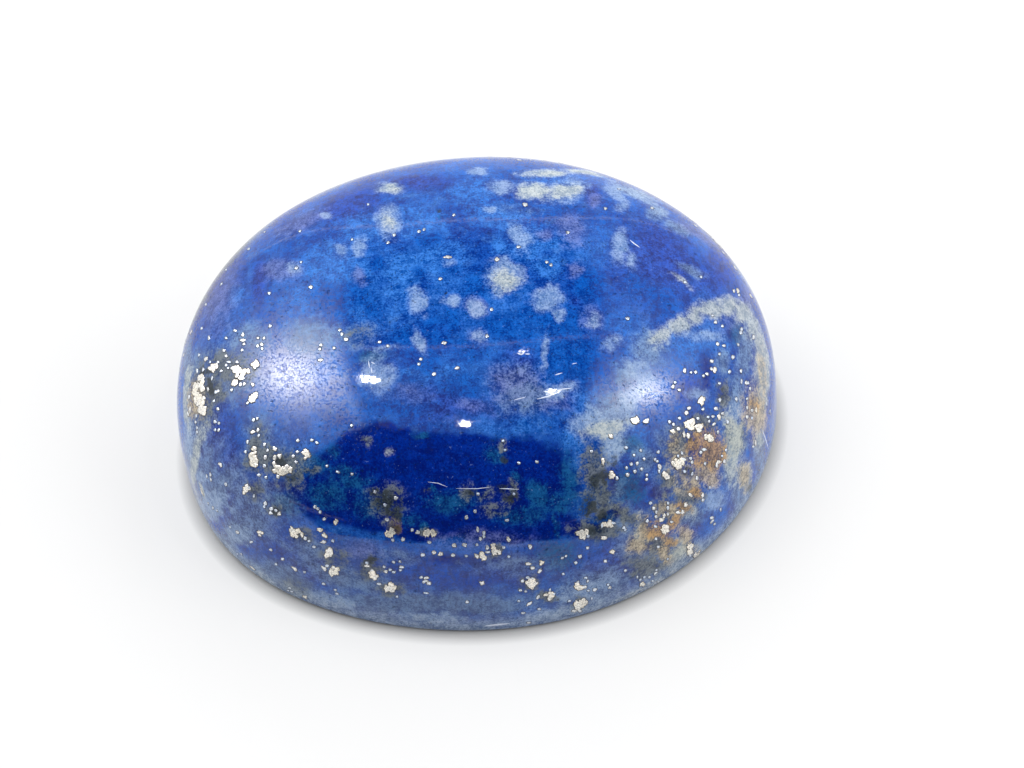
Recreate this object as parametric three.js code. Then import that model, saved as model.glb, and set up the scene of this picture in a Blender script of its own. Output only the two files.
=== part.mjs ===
// Polished oval cabochon of lapis lazuli: one solid stone with a full dome, a
// rounded lower edge and a flat base. Millimetres, +Z up. The origin is the
// middle of the flat base, and +X runs along the stone's long axis.

import * as THREE from 'three';
import { mergeVertices } from 'three/addons/utils/BufferGeometryUtils.js';

// Driving dimensions, in millimetres.
const LENGTH = 25; // across the girdle, along X
const WIDTH = 20.7; // across the girdle, along Y
const HEIGHT = 9.6; // from the flat base to the top of the dome
const GIRDLE_HEIGHT = 1.5; // the widest line, above the base
const BASE_INSET = 0.4; // how far the flat base stops short of the girdle
const APEX_SHIFT_X = -0.7; // a hand-ground dome: its top is off centre
const APEX_SHIFT_Y = 0.75;

// Fullness of the two curves of the profile: 2 is an ellipse, more is squarer.
const DOME_FULLNESS = 2.6;
const EDGE_FULLNESS = 2.6;

// Shallow waves that the grinding left in the outline: how many go round, how
// far they stand out, and the angle of their first crest, from +X.
const OUTLINE_WAVES = [
  { count: 3, height: 0.022, crest: 26 },
  { count: 4, height: 0.057, crest: 26 },
  { count: 5, height: 0.041, crest: -8.5 },
];

// Facets: steps around the stone, and along each curve of the profile.
const STEPS_AROUND = 84;
const DOME_STEPS = 26;
const EDGE_STEPS = 4;

const LAPIS_BLUE = 0x1c3f9e;

/** A quarter of a superellipse from (1, 0) to (0, 1), at t from 0 to 1. */
function roundedQuarter(t, fullness) {
  const angle = (t * Math.PI) / 2;
  const power = 2 / fullness;
  return {
    across: Math.max(Math.cos(angle), 0) ** power,
    up: Math.sin(angle) ** power,
  };
}

/** Half the stone's section at a radius of 1, from the base up to the top. */
function stoneProfile() {
  const inset = BASE_INSET / (LENGTH / 2);
  const points = [new THREE.Vector2(0, 0)];
  for (let step = EDGE_STEPS; step > 0; step -= 1) {
    const { across, up } = roundedQuarter(step / EDGE_STEPS, EDGE_FULLNESS);
    points.push(new THREE.Vector2(1 - inset * (1 - across), GIRDLE_HEIGHT * (1 - up)));
  }
  const domeHeight = HEIGHT - GIRDLE_HEIGHT;
  for (let step = 0; step < DOME_STEPS; step += 1) {
    const { across, up } = roundedQuarter(step / DOME_STEPS, DOME_FULLNESS);
    points.push(new THREE.Vector2(across, GIRDLE_HEIGHT + domeHeight * up));
  }
  points.push(new THREE.Vector2(0, HEIGHT));
  return points;
}

/** How far the waves move the outline out at an angle, as a share of its radius. */
function outlineWave(angle) {
  return OUTLINE_WAVES.reduce((sum, { count, height, crest }) => {
    const turn = count * (angle - THREE.MathUtils.degToRad(crest));
    return sum + (height / (LENGTH / 2)) * Math.cos(turn);
  }, 0);
}

/** Stretches the round blank to the oval outline and leans its dome. */
function shapeToOutline(geometry) {
  const position = geometry.getAttribute('position');
  for (let i = 0; i < position.count; i += 1) {
    const x = position.getX(i);
    const y = position.getY(i);
    const rise = position.getZ(i) / HEIGHT;
    const reach = 1 + outlineWave(Math.atan2(y, x));
    position.setX(i, (x * reach * LENGTH) / 2 + APEX_SHIFT_X * rise);
    position.setY(i, (y * reach * WIDTH) / 2 + APEX_SHIFT_Y * rise);
  }
}

function lapisStone() {
  let geometry = new THREE.LatheGeometry(stoneProfile(), STEPS_AROUND);
  geometry.rotateX(Math.PI / 2);
  geometry.deleteAttribute('normal');
  geometry.deleteAttribute('uv');
  geometry = mergeVertices(geometry, 1e-5);
  shapeToOutline(geometry);
  geometry.computeVertexNormals();
  const polished = new THREE.MeshStandardMaterial({
    color: LAPIS_BLUE,
    roughness: 0.12,
    metalness: 0,
  });
  const stone = new THREE.Mesh(geometry, polished);
  stone.name = 'lapis_stone';
  return stone;
}

const cabochon = new THREE.Group();
cabochon.add(lapisStone());

export default cabochon;
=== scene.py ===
"""A polished oval cabochon of lapis lazuli on a pale floor. Lengths are metres."""

import math
import random

import bmesh
import bpy
import numpy as np
from mathutils import Matrix, Vector, noise
from mathutils.bvhtree import BVHTree


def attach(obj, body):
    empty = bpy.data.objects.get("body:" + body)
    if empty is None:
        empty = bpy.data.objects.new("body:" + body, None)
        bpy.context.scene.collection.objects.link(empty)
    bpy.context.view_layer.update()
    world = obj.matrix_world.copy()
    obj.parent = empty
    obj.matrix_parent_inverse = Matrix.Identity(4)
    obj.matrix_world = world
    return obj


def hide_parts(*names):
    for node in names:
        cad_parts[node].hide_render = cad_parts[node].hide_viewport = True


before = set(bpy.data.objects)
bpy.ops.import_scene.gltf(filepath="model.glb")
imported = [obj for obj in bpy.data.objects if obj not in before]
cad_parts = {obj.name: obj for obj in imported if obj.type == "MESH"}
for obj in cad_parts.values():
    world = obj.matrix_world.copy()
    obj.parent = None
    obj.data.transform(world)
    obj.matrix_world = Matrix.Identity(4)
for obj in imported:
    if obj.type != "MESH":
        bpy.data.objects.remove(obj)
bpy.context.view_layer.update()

MM = 0.001

# The stone, with the same driving dimensions as its solid.
LENGTH = 25 * MM
WIDTH = 20.7 * MM
HEIGHT = 9.6 * MM
GIRDLE_HEIGHT = 1.5 * MM
BASE_INSET = 0.4 * MM
APEX_SHIFT = (-0.7 * MM, 0.75 * MM)
DOME_FULLNESS = 2.6
EDGE_FULLNESS = 2.6
# Shallow waves in the outline: how many, how high, and where the first crest is.
OUTLINE_WAVES = ((3, 0.022 * MM, 26), (4, 0.057 * MM, 26), (5, 0.041 * MM, -8.5))

# The view: 1024 x 768, seen from in front and well above.
VIEW_WIDTH, VIEW_HEIGHT = 1024, 768
VIEW_ELEVATION = math.radians(50)
VIEW_TURN = math.radians(11.28)
VIEW_DISTANCE = 4.5 * LENGTH
PIXELS_PER_METRE = 306.8 / (LENGTH / 2)
STONE_PIXEL = (483.2, 356.4)  # where the middle of the stone shows


# ---------------------------------------------------------------- shader maths


class Wire:
    """A shader socket: an expression on it adds its Math nodes."""

    def __init__(self, maker, socket):
        self.maker = maker
        self.socket = socket

    def math(self, operation, *terms):
        return self.maker.node("ShaderNodeMath", dict(enumerate(terms)), operation=operation)

    def __add__(self, other):
        return self.math("ADD", self, other)

    def __sub__(self, other):
        return self.math("SUBTRACT", self, other)

    def __rsub__(self, other):
        return self.math("SUBTRACT", other, self)

    def __mul__(self, other):
        return self.math("MULTIPLY", self, other)

    def __truediv__(self, other):
        return self.math("DIVIDE", self, other)

    def __rtruediv__(self, other):
        return self.math("DIVIDE", other, self)

    def __pow__(self, other):
        return self.math("POWER", self, other)

    __radd__ = __add__
    __rmul__ = __mul__

    def __abs__(self):
        return self.math("ABSOLUTE", self)

    def most(self, other):
        return self.math("MAXIMUM", self, other)

    def within(self, low, high):
        """0 below low, 1 above high and a smooth step between; high may be the lower one."""
        return self.maker.node(
            "ShaderNodeMapRange",
            {"Value": self, "From Min": low, "From Max": high},
            interpolation_type="SMOOTHSTEP",
        )


# The Mix node has sockets for every kind of value. These take and give colours.
MIX_COLOURS = (6, 7)
MIXED_COLOUR = 2


class Maker:
    """Adds nodes to one emptied node tree."""

    def __init__(self, tree):
        self.tree = tree
        tree.nodes.clear()

    def node(self, kind, inputs=None, output=0, **settings):
        """Adds a node, links or sets its inputs, and returns one of its outputs."""
        made = self.tree.nodes.new(kind)
        for name, value in settings.items():
            setattr(made, name, value)
        for name, value in (inputs or {}).items():
            socket = made.inputs[name]
            if isinstance(value, Wire):
                self.tree.links.new(value.socket, socket)
            else:
                socket.default_value = value
        return Wire(self, made.outputs[output])

    def object_place(self):
        return self.node("ShaderNodeTexCoord", output="Object")

    def field(self, name):
        return self.node("ShaderNodeAttribute", output="Fac", attribute_name=name)

    def noise(self, place, size, detail=2.0, roughness=0.5, shift=(0, 0, 0)):
        """Noise from 0 to 1 whose lumps are about size across."""
        moved = self.node("ShaderNodeVectorMath", {0: place, 1: shift}, operation="ADD")
        return self.node(
            "ShaderNodeTexNoise",
            {"Vector": moved, "Scale": 1 / size, "Detail": detail, "Roughness": roughness},
        )

    def dot(self, place, axis):
        """How far a place lies along an axis."""
        return self.node(
            "ShaderNodeVectorMath", {0: place, 1: axis}, output=1, operation="DOT_PRODUCT"
        )

    def mix(self, share, first, second):
        """A colour that goes from first to second as share goes from 0 to 1."""
        inputs = {"Factor": share}
        for socket, colour in zip(MIX_COLOURS, (first, second)):
            inputs[socket] = colour if isinstance(colour, Wire) else (*colour, 1)
        return self.node("ShaderNodeMix", inputs, output=MIXED_COLOUR, data_type="RGBA")

    def finish(self, surface, output="ShaderNodeOutputMaterial"):
        """Ends the tree with its surface."""
        end = self.tree.nodes.new(output)
        self.tree.links.new(surface.socket, end.inputs["Surface"])


def new_material(name):
    """A material with no nodes yet, and the maker of its nodes."""
    material = bpy.data.materials.new(name)
    material.use_nodes = True
    return material, Maker(material.node_tree)


# ------------------------------------------------------------------- the stone


def rounded_quarter(t, fullness):
    """A quarter of a superellipse from (1, 0) to (0, 1), at t from 0 to 1."""
    angle = t * math.pi / 2
    power = 2 / fullness
    return max(math.cos(angle), 0) ** power, math.sin(angle) ** power


def outline_reach(angle):
    """The outline's radius at an angle, as a share of the plain oval's."""
    reach = 1.0
    for count, height, crest in OUTLINE_WAVES:
        reach += height / (LENGTH / 2) * math.cos(count * (angle - math.radians(crest)))
    return reach


def to_outline(x, y, z):
    """Moves a point of the round blank, of radius 1, to the stone's own outline."""
    reach = outline_reach(math.atan2(y, x))
    rise = z / HEIGHT
    return Vector((
        x * reach * LENGTH / 2 + APEX_SHIFT[0] * rise,
        y * reach * WIDTH / 2 + APEX_SHIFT[1] * rise,
        z,
    ))


STEPS_AROUND = 520
DOME_STEPS = 150
EDGE_STEPS = 14
BASE_STEPS = 6


def stone_profile():
    """Half the section of the round blank, from the middle of the base to the top."""
    inset = BASE_INSET / (LENGTH / 2)
    points = [((1 - inset) * step / BASE_STEPS, 0.0) for step in range(BASE_STEPS)]
    for step in range(EDGE_STEPS, 0, -1):
        across, up = rounded_quarter(step / EDGE_STEPS, EDGE_FULLNESS)
        points.append((1 - inset * (1 - across), GIRDLE_HEIGHT * (1 - up)))
    for step in range(DOME_STEPS):
        across, up = rounded_quarter(step / DOME_STEPS, DOME_FULLNESS)
        points.append((across, GIRDLE_HEIGHT + (HEIGHT - GIRDLE_HEIGHT) * up))
    points.append((0.0, HEIGHT))
    return points


def new_object(name, shape, material):
    """Puts a finished bmesh in the scene."""
    mesh = bpy.data.meshes.new(name)
    shape.to_mesh(mesh)
    shape.free()
    mesh.materials.append(material)
    thing = bpy.data.objects.new(name, mesh)
    bpy.context.scene.collection.objects.link(thing)
    return thing


def new_piece(name, shape, material):
    """A smooth piece of the stone that rides on the root."""
    piece = new_object(name, shape, material)
    piece.data.shade_smooth()
    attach(piece, "root")
    return piece


def turn_stone():
    """Spins the profile once round and shapes the blank to its outline."""
    shape = bmesh.new()
    corners = [shape.verts.new((across, 0, up)) for across, up in stone_profile()]
    edges = [shape.edges.new(pair) for pair in zip(corners, corners[1:])]
    bmesh.ops.spin(
        shape,
        geom=corners + edges,
        cent=(0, 0, 0),
        axis=(0, 0, 1),
        angle=2 * math.pi,
        steps=STEPS_AROUND,
        use_merge=True,
    )
    bmesh.ops.remove_doubles(shape, verts=shape.verts, dist=1e-7)
    for corner in shape.verts:
        corner.co = to_outline(*corner.co)
    bmesh.ops.recalc_face_normals(shape, faces=shape.faces)
    return shape


# ---------------------------------------------------------------- the markings


# A pixel that misses the stone moves in towards its middle, by this share at a time.
SEARCH_STEP = 0.01
SEARCH_STEPS = 40


class Sight:
    """Finds where a pixel of the view falls on the stone."""

    def __init__(self, shape, camera):
        self.tree = BVHTree.FromBMesh(shape)
        self.eye = camera.location.copy()
        self.turn = camera.rotation_euler.to_matrix()
        self.focal = camera.data.lens / camera.data.sensor_width * VIEW_WIDTH

    def spot(self, x, y):
        """The place and normal under a pixel, or under the nearest one on the stone."""
        for _ in range(SEARCH_STEPS):
            across, up = (x - VIEW_WIDTH / 2) / self.focal, (VIEW_HEIGHT / 2 - y) / self.focal
            ray = self.turn @ Vector((across, up, -1))
            place, normal, _, _ = self.tree.ray_cast(self.eye, ray)
            if place:
                break
            x += (STONE_PIXEL[0] - x) * SEARCH_STEP
            y += (STONE_PIXEL[1] - y) * SEARCH_STEP
        return place, normal, ray.normalized()

    def axes(self, x, y, turn, most_stretch):
        """A place, its normal, and what one pixel across and up covers on the surface."""
        place, normal, ray = self.spot(x, y)
        slant = math.radians(turn)
        sides = []
        for across, up in ((math.cos(slant), math.sin(slant)), (-math.sin(slant), math.cos(slant))):
            side = self.turn @ Vector((across, up, 0))
            side -= ray * (side.dot(normal) / ray.dot(normal))
            side *= min(side.length, most_stretch) / side.length / PIXELS_PER_METRE
            sides.append(side)
        return place, normal, *sides


SEED = 11  # of the far side's markings, the grains' outlines and the bends of the patches
MOST_STRETCH = 2.2  # how much longer than it shows a marking may be where the stone slopes

# Every marking is placed where it shows in the view: x, y, width and height in pixels,
# then how far it turns in degrees and how strong it is, if not 0 and 1.
MARKINGS = {
    "violet": (
        (345, 205, 70, 34, 20), (420, 182, 60, 16), (258, 281, 14, 44), (592, 192, 16, 26),
        (664, 262, 84, 80, -40), (725, 262, 40, 90, -40), (520, 365, 44, 44), (757, 462, 14, 44),
        (732, 508, 12, 28), (445, 330, 16, 14), (576, 305, 12, 12), (240, 515, 90, 70, -30),
        (300, 560, 90, 40, -30), (648, 484, 16, 12), (768, 461, 12, 36), (625, 560, 90, 50, 20),
        (690, 528, 20, 18), (210, 440, 44, 70, -10, 0.9), (470, 575, 200, 40, 0, 0.8),
        (440, 404, 110, 26, 0, 0.9), (575, 390, 26, 26, 0, 0.9), (690, 390, 32, 28), (232, 460, 20, 40),
    ),
    "azure": (
        (420, 222, 56, 34, 0, 0.65), (470, 192, 40, 22), (548, 246, 18, 12), (530, 252, 20, 16),
        (497, 246, 14, 16), (235, 295, 16, 16), (332, 488, 32, 30), (521, 428, 14, 18),
        (708, 498, 20, 28), (360, 228, 40, 24), (330, 270, 60, 50, 20, 0.9), (440, 262, 60, 40, 0, 0.7),
        (410, 320, 90, 60, 0, 0.4), (475, 290, 30, 40, 0, 0.7), (360, 300, 50, 40), (590, 400, 30, 40),
        (568, 458, 6, 46), (560, 180, 60, 20), (500, 215, 50, 24), (640, 445, 16, 26),
        (440, 375, 90, 20, 0, 0.8), (300, 330, 40, 30, 0, 0.8), (690, 343, 34, 18, 0, 1.2),
        (352, 272, 60, 26, 0, 0.8), (400, 292, 40, 20, 0, 0.8), (548, 340, 40, 30, 0, 0.7),
        (404, 268, 40, 30, 0, 1.1), (526, 244, 34, 30, 0, 1.1), (548, 268, 24, 24), (716, 338, 30, 24),
        (690, 338, 40, 24, 0, 1.2), (572, 455, 18, 46, 0, 1.1), (310, 300, 40, 30, 0, 0.8),
    ),
    "royal": (
        (570, 355, 66, 50), (557, 320, 60, 32), (555, 210, 90, 14, -6), (510, 174, 24, 12),
        (633, 283, 18, 26), (500, 326, 50, 26, 0, 1.1), (452, 318, 14, 30), (420, 272, 12, 10),
        (470, 350, 34, 24), (400, 402, 60, 26), (356, 292, 40, 26), (428, 240, 30, 16),
        (476, 292, 24, 40), (335, 300, 40, 30), (380, 262, 14, 14), (528, 312, 24, 20),
        (590, 285, 30, 40, 0, 0.9), (465, 385, 50, 30, 0, 0.9), (440, 330, 40, 40, 0, 0.8),
        (220, 335, 14, 24), (660, 300, 60, 26, -40, 0.8), (370, 310, 30, 24, 0, 0.9),
        (404, 388, 30, 24), (524, 338, 34, 28), (578, 318, 22, 24), (404, 340, 30, 24, 0, 0.9),
        (500, 362, 26, 20, 0, 0.8), (452, 270, 20, 16, 0, 0.8), (428, 364, 28, 22), (552, 362, 20, 24),
    ),
    # Deep blue; the big patches over the front are also painted shade, darkening the stone where the
    # dark open front is reflected.
    "deep_blue_and_painted_front_shade": (
        (448, 474, 200, 64, -2, 1.5), (356, 462, 66, 46, 10, 1.3), (524, 482, 84, 76, -4, 1.3),
        (340, 505, 90, 34, -10, 1.3), (440, 516, 200, 34, 0, 1.4), (540, 526, 80, 24, 0, 1.2),
        (629, 489, 20, 26, 0, 0.7), (659, 492, 22, 14), (610, 512, 30, 20, 0, 0.9),
        (729, 330, 14, 34, 0, 0.6), (708, 372, 22, 60, 0, 0.6), (278, 489, 16, 14),
        (388, 440, 60, 30, -4, 1.2), (500, 534, 80, 16, 0, 1.1), (428, 534, 50, 14),
        (286, 506, 26, 18, 0, 0.9), (618, 486, 18, 22, 0, 0.8),
        (548, 526, 16, 30), (570, 522, 22, 18), (470, 560, 130, 16, 0, 0.6),
        (620, 515, 20, 20), (590, 530, 30, 20, 0, 1.1), (315, 486, 30, 24),
    ),
    "teal": (
        (332, 452, 20, 20, 0, 0.7), (495, 456, 18, 20, 0, 0.8), (515, 478, 13, 13),
        (374, 354, 22, 15), (310, 466, 28, 26, 0, 0.9), (425, 527, 11, 9), (558, 527, 6, 30, 0, 0.8),
        (537, 496, 26, 26), (437, 218, 6, 4), (552, 174, 20, 5), (422, 434, 14, 6), (433, 487, 9, 7),
        (325, 495, 40, 26, 0, 0.8), (375, 505, 50, 26, 0, 0.8), (450, 500, 60, 20, 0, 0.8),
        (600, 502, 40, 30, 0, 0.9), (520, 515, 50, 20, 0, 0.7), (568, 480, 20, 50, 0, 0.7),
        (629, 488, 24, 30, 0, 1.2), (284, 506, 30, 24), (612, 520, 40, 20, 0, 0.9),
        (350, 478, 40, 20, 0, 0.8), (404, 520, 40, 18, 0, 0.5), (560, 500, 36, 24, 0, 0.8),
        (308, 460, 26, 18), (596, 536, 30, 14, 0, 0.8),
        (555, 556, 44, 30, 0, 0.8), (676, 516, 40, 14, 45), (628, 445, 24, 16), (735, 330, 12, 26),
    ),
    "slate": (
        (722, 362, 14, 24), (737, 398, 18, 40, 0, 1.1), (735, 440, 24, 44, 0, 1.2),
        (733, 475, 18, 34, 0, 1.1), (650, 348, 30, 34, 30), (628, 376, 30, 26, 40, 0.9),
        (612, 410, 40, 34, 25, 1.1), (612, 444, 26, 30, 0, 1.1), (616, 496, 16, 40, -15, 0.5),
        (640, 520, 40, 20, -30), (678, 228, 30, 12, -30), (634, 192, 34, 14, -20),
        (760, 452, 18, 40, 0, 1.1), (690, 514, 28, 24, 0, 1.1), (738, 496, 18, 26, 0, 1.1),
        (192, 450, 24, 90, -5, 1.2), (198, 370, 20, 40),
        (656, 212, 20, 16), (690, 270, 34, 10, -25, 0.9), (205, 470, 30, 60, -5, 0.8),
        (200, 512, 26, 70, -20, 1.1), (225, 545, 26, 40, -40), (222, 376, 56, 54),
        (258, 440, 26, 50), (285, 462, 36, 30), (250, 340, 44, 40, 0, 0.8), (330, 335, 40, 24, 0, 0.8),
        (350, 578, 110, 26, -14, 0.9), (430, 602, 150, 18, 0, 0.9), (600, 585, 90, 36, 18, 0.9),
        (510, 566, 90, 24, 0, 0.6), (645, 555, 60, 44, -30), (310, 552, 60, 26, -20, 0.8),
        (700, 560, 40, 30, -40), (676, 478, 44, 34, 0, 0.8), (670, 440, 34, 34, 0, 0.7),
        (400, 556, 60, 18, 0, 0.5), (745, 350, 16, 60, 0, 0.9), (358, 335, 36, 26, 0, 0.6),
        (520, 210, 50, 12, 0, 0.5), (514, 378, 50, 36, 0, 0.6), (524, 396, 40, 26),
        (306, 340, 50, 40), (206, 500, 26, 80, -25, 1.2), (270, 580, 70, 26, -32, 1.1),
        (220, 545, 20, 50, -35, 1.1), (188, 364, 16, 50, 0, 1.1), (380, 604, 110, 16, -8),
        (250, 510, 70, 60, -30, 0.8), (470, 606, 160, 20), (600, 596, 80, 16, 20),
        (284, 580, 54, 22, -32, 1.2), (236, 532, 30, 26, -30, 1.1), (644, 460, 24, 24, 0, 0.9),
    ),
    "mauve": (
        (571, 231, 24, 30), (545, 236, 14, 10), (361, 275, 12, 16), (475, 308, 18, 18),
        (477, 338, 18, 20, 0, 0.6), (591, 318, 18, 22, 0, 0.9), (577, 270, 16, 14), (648, 547, 14, 10),
        (412, 394, 46, 20, 0, 0.55), (474, 405, 44, 14, 0, 0.55), (556, 404, 40, 16, 10, 0.7),
        (596, 200, 14, 12), (220, 300, 30, 70, -20, 0.8), (300, 222, 50, 14, 30),
        (745, 300, 22, 60, -30, 0.8), (700, 235, 50, 12, -35), (362, 552, 40, 18, 0, 0.8),
        (512, 382, 48, 34, 0, 0.7), (280, 375, 60, 50, 0, 0.8), (480, 540, 90, 18, 0, 0.7),
        (300, 400, 40, 60, 0, 0.7), (278, 270, 34, 20), (655, 560, 26, 16),
    ),
    "calcite": (
        (388, 188, 24, 13, 0, 0.85), (388, 221, 21, 28), (342, 250, 13, 14, 0, 0.9),
        (360, 246, 14, 16, 0, 0.9), (480, 172, 18, 9), (490, 212, 12, 9, 0, 0.85),
        (500, 187, 28, 14), (517, 233, 20, 20, 0, 0.85), (533, 190, 30, 15), (566, 190, 44, 20, 8),
        (548, 173, 50, 9, 0, 1.1), (585, 172, 40, 10, -10, 1.1), (618, 190, 28, 18, -30),
        (622, 206, 14, 12, 0, 0.8), (620, 246, 16, 30, 0, 0.9), (632, 262, 12, 16, 0, 0.8),
        (420, 302, 20, 27, 15, 0.95), (455, 301, 14, 14, 0, 0.85), (475, 308, 15, 17, 0, 0.95),
        (420, 343, 13, 22, 15, 0.85), (477, 338, 15, 14, 0, 0.7), (504, 275, 32, 28, 0, 1.1),
        (500, 290, 18, 16, 0, 0.7), (546, 298, 28, 22), (560, 313, 11, 15, 0, 0.85),
        (591, 319, 12, 15, 0, 0.75), (546, 352, 6, 48, -8, 0.65), (613, 344, 24, 16, 0, 0.7),
        (448, 262, 18, 10, 0, 0.5), (325, 216, 12, 9, 0, 0.8), (445, 300, 10, 12, 0, 0.7),
        (378, 374, 26, 38, 0, 0.85), (645, 376, 22, 34, 40), (590, 418, 34, 20, 25),
        (608, 430, 38, 20, 15, 1.2), (611, 448, 20, 30, 0, 1.1), (628, 398, 44, 20, 40),
        (622, 524, 16, 22, -30), (560, 392, 40, 16, 20, 0.7), (204, 505, 14, 60, -25, 0.9),
        (644, 196, 40, 16, -30), (706, 336, 40, 12, 0, 0.7), (524, 240, 20, 26, 0, 0.8),
        (660, 212, 14, 10), (292, 268, 14, 12, 0, 0.8), (202, 478, 13, 11), (236, 562, 34, 20, -45),
        (735, 452, 14, 30), (738, 410, 12, 30), (716, 500, 18, 22, -40, 0.9), (655, 560, 26, 16),
        (590, 588, 50, 14, 15, 0.9), (700, 395, 22, 14, 0, 0.7), (385, 347, 36, 8, 0, 0.5),
        (330, 600, 50, 10, -16), (430, 618, 80, 9), (560, 612, 70, 9, 10), (188, 440, 14, 50, 0, 0.9),
        (212, 508, 22, 34, -20), (236, 534, 28, 22, -30, 0.8), (262, 582, 30, 18, -35),
    ),
    "chalk": (
        (664, 338, 24, 17, 35, 0.9), (680, 327, 26, 18, 35, 0.95), (696, 317, 26, 17, 25, 0.95),
        (712, 309, 26, 18, 15), (728, 305, 26, 17), (744, 313, 22, 18, -35), (753, 326, 16, 24),
        (759, 342, 15, 30), (763, 366, 18, 66, 4, 1.2), (762, 398, 16, 40, -4, 1.1),
        (606, 429, 40, 16, 15), (679, 280, 32, 7, -25, 0.8), (745, 478, 16, 28, 0, 1.1),
        (734, 450, 18, 70, 0, 0.95), (676, 548, 28, 24, 0, 0.8),
        (766, 370, 10, 70, 4, 1.2), (762, 358, 12, 40, 0, 1.1), (187, 398, 8, 60, 0, 1.1),
        (534, 190, 34, 13), (562, 191, 40, 14, 8), (389, 189, 18, 10, 0, 0.8),
        (388, 452, 9, 8, 0, 0.7), (585, 172, 30, 8, -10), (505, 281, 24, 22, 0, 0.9),
        (388, 222, 14, 18, 0, 0.7), (643, 530, 12, 26), (640, 592, 70, 5, 26), (203, 493, 4, 12, 20),
        (760, 438, 14, 30, 0, 0.8), (690, 512, 22, 16, 0, 0.7), (194, 465, 12, 70, -5, 0.8),
        (548, 173, 50, 8, 0, 0.9), (260, 580, 20, 12, -35, 0.8),
    ),
    "olive": (
        (357, 333, 28, 22, 0, 0.4), (594, 480, 22, 64), (603, 500, 18, 30),
        (598, 530, 38, 18, 0, 1.2), (627, 517, 36, 14, -35), (655, 546, 36, 26, -30),
        (467, 492, 12, 18, 0, 0.8), (679, 446, 28, 34), (334, 556, 26, 18, 0, 0.7),
        (485, 497, 13, 11, 0, 0.7), (508, 497, 15, 22, 0, 0.85), (386, 500, 30, 26, 0, 0.95),
        (425, 490, 9, 7, 0, 0.7), (310, 471, 15, 9), (492, 512, 24, 10, 0, 0.7),
        (300, 477, 12, 11), (363, 441, 12, 9, 0, 0.7), (502, 446, 8, 16, 0, 0.7),
        (226, 368, 44, 30, 0, 0.9), (201, 394, 22, 54), (216, 390, 16, 30),
        (257, 434, 16, 22, 0, 0.8), (254, 450, 12, 26), (268, 458, 22, 22), (256, 491, 16, 16),
        (285, 464, 28, 26, 0, 1.1), (292, 480, 20, 22), (724, 396, 11, 32),
        (751, 490, 10, 13), (668, 481, 18, 13), (675, 560, 34, 30), (370, 569, 24, 18),
        (390, 588, 22, 12), (430, 532, 16, 7), (494, 550, 14, 12), (584, 534, 12, 9),
        (292, 590, 26, 16, -30), (580, 603, 18, 12), (300, 536, 22, 12), (275, 512, 14, 10),
        (530, 585, 16, 14), (548, 597, 14, 10), (254, 462, 20, 32, 0, 0.8), (690, 495, 30, 24),
        (735, 440, 20, 30), (700, 425, 30, 20), (650, 570, 40, 24, -20), (687, 550, 16, 14),
        (668, 508, 26, 22, 0, 0.9), (388, 512, 18, 22, 0, 0.8), (508, 496, 12, 18),
    ),
    "shade": (
        (210, 388, 8, 18, 0, 0.8), (607, 478, 14, 12, 0, 1.1), (593, 486, 8, 14, 0, 0.8),
        (588, 508, 12, 12, 0, 0.8), (612, 462, 7, 14, 0, 0.7), (288, 478, 12, 6, 0, 0.9),
        (388, 502, 20, 18), (376, 492, 12, 8, 0, 0.8), (394, 516, 12, 12, 0, 0.9),
        (425, 489, 8, 6, 0, 0.8), (394, 528, 9, 10, 0, 0.8), (373, 562, 14, 6),
        (685, 472, 16, 8, 0, 0.8), (722, 396, 6, 18, 0, 0.6), (749, 491, 8, 8), (508, 500, 12, 10),
        (498, 492, 10, 7, 0, 0.9), (275, 513, 7, 6), (470, 494, 8, 8, 0, 0.8), (604, 514, 10, 8),
        (437, 210, 4, 4), (447, 291, 3, 4), (280, 462, 12, 7, 0, 0.9), (206, 372, 10, 8, 0, 0.8),
        (238, 380, 12, 6, 0, 0.7), (688, 440, 12, 6, 0, 0.8), (502, 462, 6, 8, 0, 0.8),
        (596, 530, 16, 10, 0, 0.7),
    ),
    "tan": (
        (709, 470, 24, 20), (714, 480, 14, 15), (757, 412, 24, 44, 0, 1.1), (745, 480, 14, 26),
        (645, 530, 14, 26), (692, 484, 24, 14, 0, 0.8), (703, 474, 22, 14), (664, 556, 18, 12, -30),
        (196, 398, 14, 34, 0, 0.9), (638, 545, 18, 16), (696, 556, 20, 12, -40),
        (680, 470, 24, 40, 0, 0.7), (763, 376, 14, 56, 4, 0.7), (650, 590, 70, 5, 28, 0.9),
        (684, 536, 24, 14, -40, 0.8),
        (672, 440, 14, 16, 0, 0.7), (668, 508, 20, 14, 0, 0.7), (394, 524, 10, 12, 0, 0.7),
    ),
    "rust": (
        (711, 452, 26, 32, 0, 1.1), (695, 446, 16, 15), (697, 493, 14, 9), (660, 530, 24, 20, -30, 0.9),
        (685, 508, 15, 9, -30), (396, 528, 8, 8, 0, 0.8), (675, 520, 22, 9, 45), (669, 545, 14, 10),
        (700, 438, 20, 12, 0, 0.8), (755, 404, 10, 14, 0, 0.8),
    ),
}

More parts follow.
